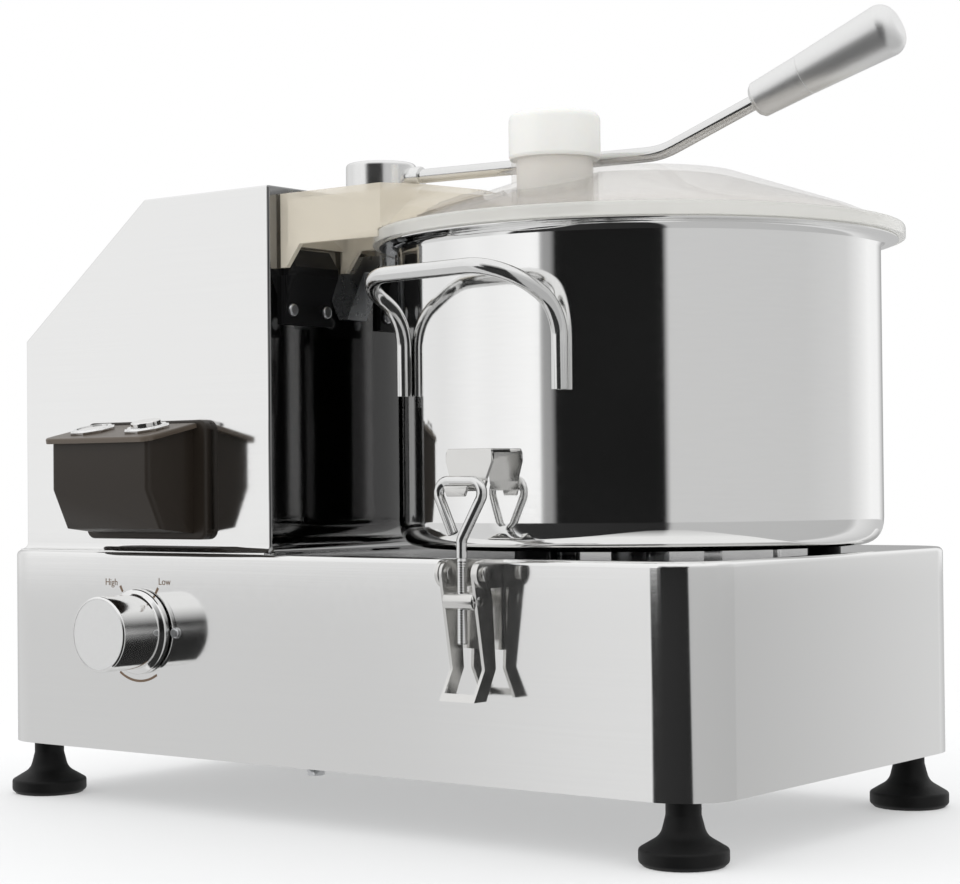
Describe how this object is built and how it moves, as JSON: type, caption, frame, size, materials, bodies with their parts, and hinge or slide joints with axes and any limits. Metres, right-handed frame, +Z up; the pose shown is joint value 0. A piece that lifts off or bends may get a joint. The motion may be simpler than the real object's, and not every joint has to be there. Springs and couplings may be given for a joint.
{
  "type": "bowl cutter",
  "caption": "Countertop food bowl cutter: steel motor tower and base, spun bowl with sickle blades, clear clamped lid, feed tube, toggle latches.",
  "frame": {"origin": "on the table, under the middle of the whole model's footprint", "axes": "+X along the base from the motor tower to the bowl end, +Y from the operator's side to the back, +Z up"},
  "size_m": [0.5492, 0.3388, 0.4208],
  "materials": {
    "bearing_steel": "ground steel",
    "belt_rubber": "ribbed belt rubber",
    "black_plastic": "fine-textured moulded plastic",
    "black_rubber": "matte moulded rubber",
    "blade_steel": "ground and honed blade steel",
    "bowl_steel": "polished spun stainless",
    "button_chrome": "bright chrome cap",
    "cast_aluminium": "machined casting",
    "chrome": "bright chrome",
    "circuit_board": "green laminate with black parts",
    "clear_polycarbonate": "clear moulded polycarbonate",
    "galvanised_steel": "dull galvanised sheet",
    "gasket_rubber": "soft translucent silicone",
    "grip_aluminium": "turned aluminium, fine satin",
    "hub_steel": "turned stainless with fine rings",
    "ivory_plastic": "ivory moulded polyethylene",
    "knob_chrome": "turned chrome with fine rings",
    "latch_steel": "tumbled stamped stainless",
    "motor_paint": "grey-blue enamel",
    "rod_steel": "polished drawn rod",
    "seal_rubber": "smooth nitrile rubber",
    "stainless": "satin cold-rolled stainless sheet",
    "stainless_mirror": "near-mirror stainless sheet",
    "steel_grey": "satin steel",
    "switch_lid_plastic": "tan satin moulding",
    "switch_plastic": "dark brown satin moulding",
    "zinc_steel": "zinc-plated steel"
  },
  "bodies": {
    "machine": {"base_fasteners": "zinc_steel", "base_housing": "stainless", "bearing_housing": "cast_aluminium", "bearing_outer_rings": "bearing_steel", "bottom_plate": "galvanised_steel", "bowl_handles": "rod_steel", "bowl_keepers": "latch_steel", "bowl_rest_pads": "black_rubber", "bowl_shell": "bowl_steel", "bowl_side_panel": "stainless_mirror", "button_bezels": "chrome", "cable_gland": "black_plastic", "clamp_bracket": "steel_grey", "contact_blocks": "black_plastic", "control_board": "circuit_board", "cover_screws": "zinc_steel", "drive_belt": "belt_rubber", "latch_brackets": "latch_steel", "latch_pins": "latch_steel", "lid_catches": "black_plastic", "motor_cowl": "black_plastic", "motor_housing": "motor_paint", "motor_plate": "galvanised_steel", "rubber_feet": "black_rubber", "shaft_seal": "seal_rubber", "speed_potentiometer": "black_plastic", "switch_box": "switch_plastic", "switch_flange": "switch_plastic", "switch_top_plate": "switch_lid_plastic", "tower_cover": "stainless"},
    "spindle": {"spindle_shaft": "bearing_steel", "bearing_inner_rings": "bearing_steel", "spindle_pulley": "cast_aluminium", "pulley_nut": "zinc_steel", "blade_hub": "stainless", "lower_blade": "blade_steel", "upper_blade": "blade_steel", "blade_spacers": "stainless", "blade_nut": "stainless"},
    "motor_rotor": {"motor_shaft": "bearing_steel", "motor_pulley": "cast_aluminium", "motor_fan": "black_plastic"},
    "knob": {"speed_knob": "knob_chrome", "knob_shaft": "zinc_steel"},
    "start_push": {"start_button": "button_chrome"},
    "stop_push": {"stop_button": "button_chrome"},
    "lid": {"lid_shell": "clear_polycarbonate", "lid_gasket": "gasket_rubber"},
    "clamp_lever": {"clamp_hub": "hub_steel", "clamp_stud": "zinc_steel", "lever_rod": "rod_steel", "lever_grip": "grip_aluminium"},
    "pusher": {"feed_pusher": "ivory_plastic"},
    "front_lever": {"front_latch_lever": "latch_steel"},
    "rear_lever": {"rear_latch_lever": "latch_steel"},
    "front_claw": {"front_latch_trunnion": "latch_steel", "front_latch_claw": "rod_steel"},
    "rear_claw": {"rear_latch_trunnion": "latch_steel", "rear_latch_claw": "rod_steel"}
  },
  "joints": [
    {"name": "spindle_spin", "type": "hinge", "parent": "machine", "child": "spindle", "pos_m": [0.0999, 0.0011, 0.16], "axis": [0, 0, 1], "continuous": true},
    {"name": "motor_spin", "type": "hinge", "parent": "machine", "child": "motor_rotor", "pos_m": [-0.1626, 0.0011, 0.16], "axis": [0, 0, 1], "continuous": true},
    {"name": "speed_turn", "type": "hinge", "parent": "machine", "child": "knob", "pos_m": [-0.1496, -0.1364, 0.1013], "axis": [0, -1, 0], "range_deg": [0, 300]},
    {"name": "start_press", "type": "slide", "parent": "machine", "child": "start_push", "axis": [0, 0.2079, -0.9781], "range_m": [0, 0.003], "stiffness_N_per_m": 600, "springref_m": -0.001},
    {"name": "stop_press", "type": "slide", "parent": "machine", "child": "stop_push", "axis": [0, 0.2079, -0.9781], "range_m": [0, 0.003], "stiffness_N_per_m": 600, "springref_m": -0.001},
    {"name": "lid_lift", "type": "slide", "parent": "machine", "child": "lid", "axis": [0, 0, 1], "range_m": [0, 0.08]},
    {"name": "clamp_turn", "type": "hinge", "parent": "lid", "child": "clamp_lever", "pos_m": [-0.0381, -0.0534, 0.35], "axis": [0, 0, 1], "range_deg": [0, 95]},
    {"name": "pusher_lift", "type": "slide", "parent": "lid", "child": "pusher", "axis": [0, 0, 1], "range_m": [0, 0.06]},
    {"name": "front_latch_swing", "type": "hinge", "parent": "machine", "child": "front_lever", "pos_m": [0.0964, -0.1514, 0.139], "axis": [-1, 0, 0], "range_deg": [0, 110]},
    {"name": "front_claw_swing", "type": "hinge", "parent": "front_lever", "child": "front_claw", "pos_m": [0.0964, -0.153, 0.1256], "axis": [-1, 0, 0], "range_deg": [-110, 0]},
    {"name": "rear_latch_swing", "type": "hinge", "parent": "machine", "child": "rear_lever", "pos_m": [0.0964, 0.1536, 0.139], "axis": [1, 0, 0], "range_deg": [0, 110]},
    {"name": "rear_claw_swing", "type": "hinge", "parent": "rear_lever", "child": "rear_claw", "pos_m": [0.0964, 0.1552, 0.1256], "axis": [1, 0, 0], "range_deg": [-110, 0]}
  ],
  "couplings": [
    {"joint": "motor_spin", "follows": "spindle_spin", "ratio": 2.5},
    {"joint": "front_claw_swing", "follows": "front_latch_swing", "ratio": -1},
    {"joint": "rear_claw_swing", "follows": "rear_latch_swing", "ratio": -1}
  ]
}
